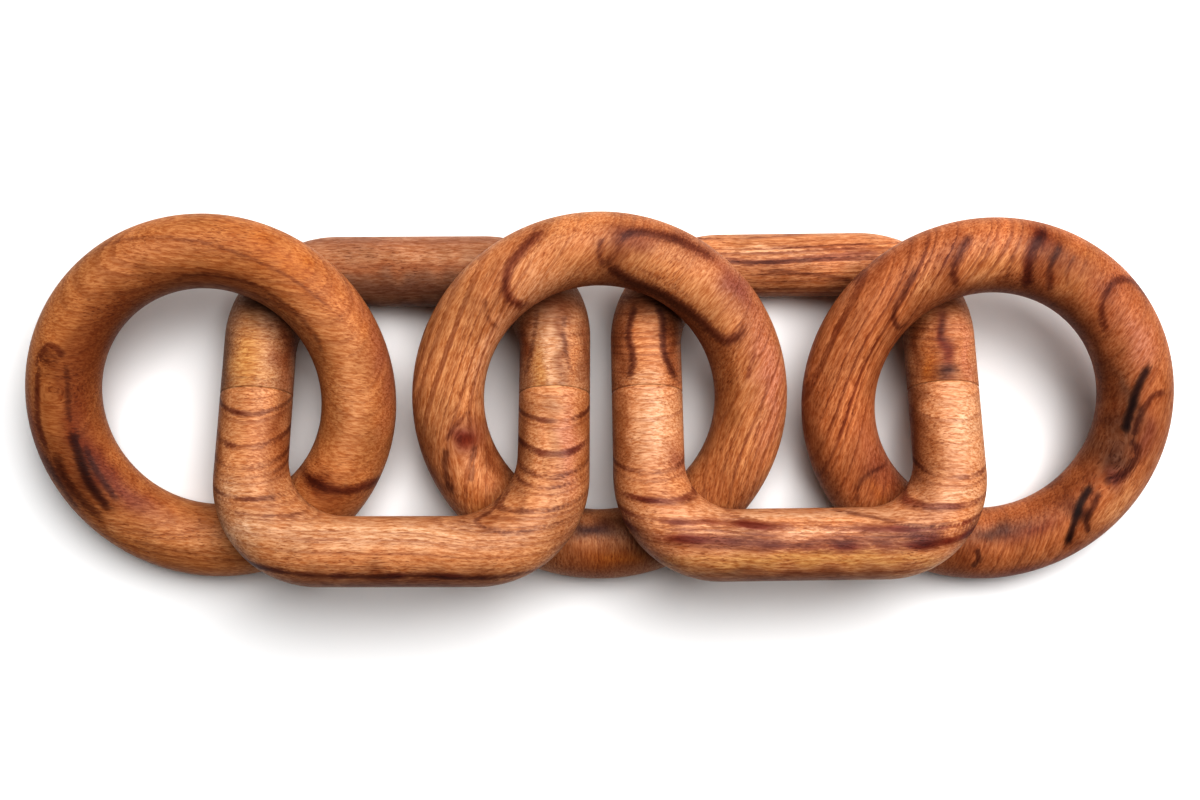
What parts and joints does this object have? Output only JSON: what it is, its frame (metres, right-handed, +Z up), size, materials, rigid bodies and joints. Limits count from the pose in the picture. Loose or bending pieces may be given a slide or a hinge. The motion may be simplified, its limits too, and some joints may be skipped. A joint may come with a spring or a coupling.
{
  "type": "decorative wooden chain",
  "caption": "Short chain of interlocked round rings and rounded squares in smooth oiled wood, an ornament that lies on a table or shelf.",
  "frame": {"origin": "on the table, under the middle of the whole chain's box as it lies", "axes": "+X along the chain from its left ring to its right ring, +Y from the squares' raised front bars to their back bars on the table, +Z up from the table"},
  "size_m": [0.3712, 0.1182, 0.0466],
  "materials": {
    "ring_wood": "satin oiled hardwood, red-brown with dark streaks and knots",
    "back_half_wood": "satin oiled hardwood, brown and fine-grained",
    "front_half_wood": "satin oiled hardwood, light orange-tan"
  },
  "bodies": {
    "root": {"ring_left": "ring_wood", "ring_middle": "ring_wood", "ring_right": "ring_wood", "square_left_back_half": "back_half_wood", "square_left_front_half": "front_half_wood", "square_right_back_half": "back_half_wood", "square_right_front_half": "front_half_wood"}
  },
  "joints": []
}
